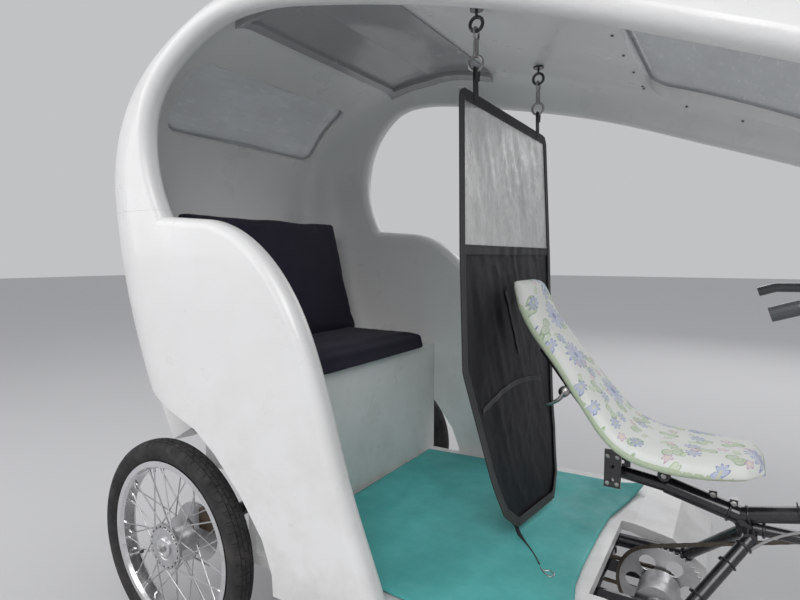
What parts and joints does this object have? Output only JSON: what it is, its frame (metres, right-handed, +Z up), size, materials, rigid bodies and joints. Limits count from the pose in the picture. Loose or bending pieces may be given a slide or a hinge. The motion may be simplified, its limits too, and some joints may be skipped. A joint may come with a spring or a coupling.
{
  "type": "cycle rickshaw",
  "caption": "Semi-recumbent pedal taxi with a rounded white cabin, open sides, a sloping roof down to the nose and spoked wheels.",
  "frame": {"origin": "on the ground under the middle of the length", "axes": "+X forward, +Y left, +Z up"},
  "size_m": [2.9931, 1.101, 1.6974],
  "materials": {
    "white_gelcoat": "satin gloss",
    "grey_lining": "gloss",
    "clear_pane": "scuffed clear",
    "teal_rubber": "matt",
    "navy_fabric": "woven",
    "black_paint": "gloss",
    "tyre_black": "matt",
    "chrome_rim": "polished",
    "hub_alloy": "satin",
    "steel": "worn",
    "chain_steel": "oiled",
    "seat_plastic": "matt",
    "floral_fabric": "printed cotton",
    "clear_sheet": "hazy clear sheet",
    "black_fabric": "coated",
    "webbing": "woven tape",
    "black_plastic": "matt",
    "red_lens": "gloss",
    "lamp_black": "gloss",
    "dark_bar": "satin"
  },
  "bodies": {
    "chassis": {"lower_shell": "white_gelcoat", "rear_canopy": "white_gelcoat", "front_canopy": "white_gelcoat", "nose_fairing": "white_gelcoat", "rear_window": "clear_pane", "windscreen": "clear_pane", "ceiling_panel_rear": "grey_lining", "ceiling_panel_front": "grey_lining", "floor_pan": "white_gelcoat", "floor_mat": "teal_rubber", "bench_shell": "white_gelcoat", "seat_cushion": "navy_fabric", "back_cushion": "navy_fabric", "axle_housing": "black_paint", "brake_caliper_right": "steel", "brake_caliper_left": "steel", "main_frame": "black_paint", "floor_frame": "black_paint", "front_chain": "chain_steel", "rear_chain": "chain_steel", "chain_idler": "black_plastic", "driver_seat_shell": "seat_plastic", "driver_seat_pad": "floral_fabric", "seat_bracket": "black_paint", "curtain_upper": "clear_sheet", "curtain_lower": "black_fabric", "curtain_webbing": "webbing", "roof_eye_right": "black_paint", "roof_eye_left": "black_paint", "snap_hook_right": "steel", "snap_hook_left": "steel", "battery_box": "black_plastic", "headlamp": "lamp_black", "tail_lamp_right": "red_lens", "tail_lamp_left": "red_lens"},
    "steering": {"fork": "black_paint", "handlebar": "dark_bar"},
    "front_wheel": {"front_tyre": "tyre_black", "front_rim": "chrome_rim", "front_hub": "hub_alloy"},
    "rear_wheel_right": {"rear_right_tyre": "tyre_black", "rear_right_rim": "chrome_rim", "rear_right_hub": "hub_alloy"},
    "rear_wheel_left": {"rear_left_tyre": "tyre_black", "rear_left_rim": "chrome_rim", "rear_left_hub": "hub_alloy"},
    "crank": {"crankset": "steel"},
    "right_pedal": {"pedal_right": "black_plastic"},
    "left_pedal": {"pedal_left": "black_plastic"},
    "mid_drive": {"gear_hub": "hub_alloy"}
  },
  "joints": [
    {"name": "steering", "type": "hinge", "parent": "chassis", "child": "steering", "pos_m": [0.86846, 0, 0.63088], "axis": [-0.342, 0, 0.9397], "range_deg": [-25, 25]},
    {"name": "front_wheel_spin", "type": "hinge", "parent": "steering", "child": "front_wheel", "pos_m": [1.05327, 0, 0.258], "axis": [0, 1, 0], "continuous": true},
    {"name": "rear_wheel_right_spin", "type": "hinge", "parent": "chassis", "child": "rear_wheel_right", "pos_m": [-1.14673, -0.516, 0.27], "axis": [0, 1, 0], "continuous": true},
    {"name": "rear_wheel_left_spin", "type": "hinge", "parent": "chassis", "child": "rear_wheel_left", "pos_m": [-1.14673, 0.516, 0.27], "axis": [0, 1, 0], "continuous": true},
    {"name": "crank_spin", "type": "hinge", "parent": "chassis", "child": "crank", "pos_m": [0.59327, 0, 0.426], "axis": [0, 1, 0], "continuous": true},
    {"name": "right_pedal_spin", "type": "hinge", "parent": "crank", "child": "right_pedal", "pos_m": [0.76327, -0.12, 0.426], "axis": [0, 1, 0], "continuous": true},
    {"name": "left_pedal_spin", "type": "hinge", "parent": "crank", "child": "left_pedal", "pos_m": [0.42327, 0.12, 0.426], "axis": [0, 1, 0], "continuous": true},
    {"name": "gear_hub_spin", "type": "hinge", "parent": "chassis", "child": "mid_drive", "pos_m": [-0.06173, 0, 0.212], "axis": [0, 1, 0], "continuous": true}
  ],
  "couplings": [
    {"joint": "gear_hub_spin", "follows": "crank_spin", "ratio": 0.935}
  ]
}
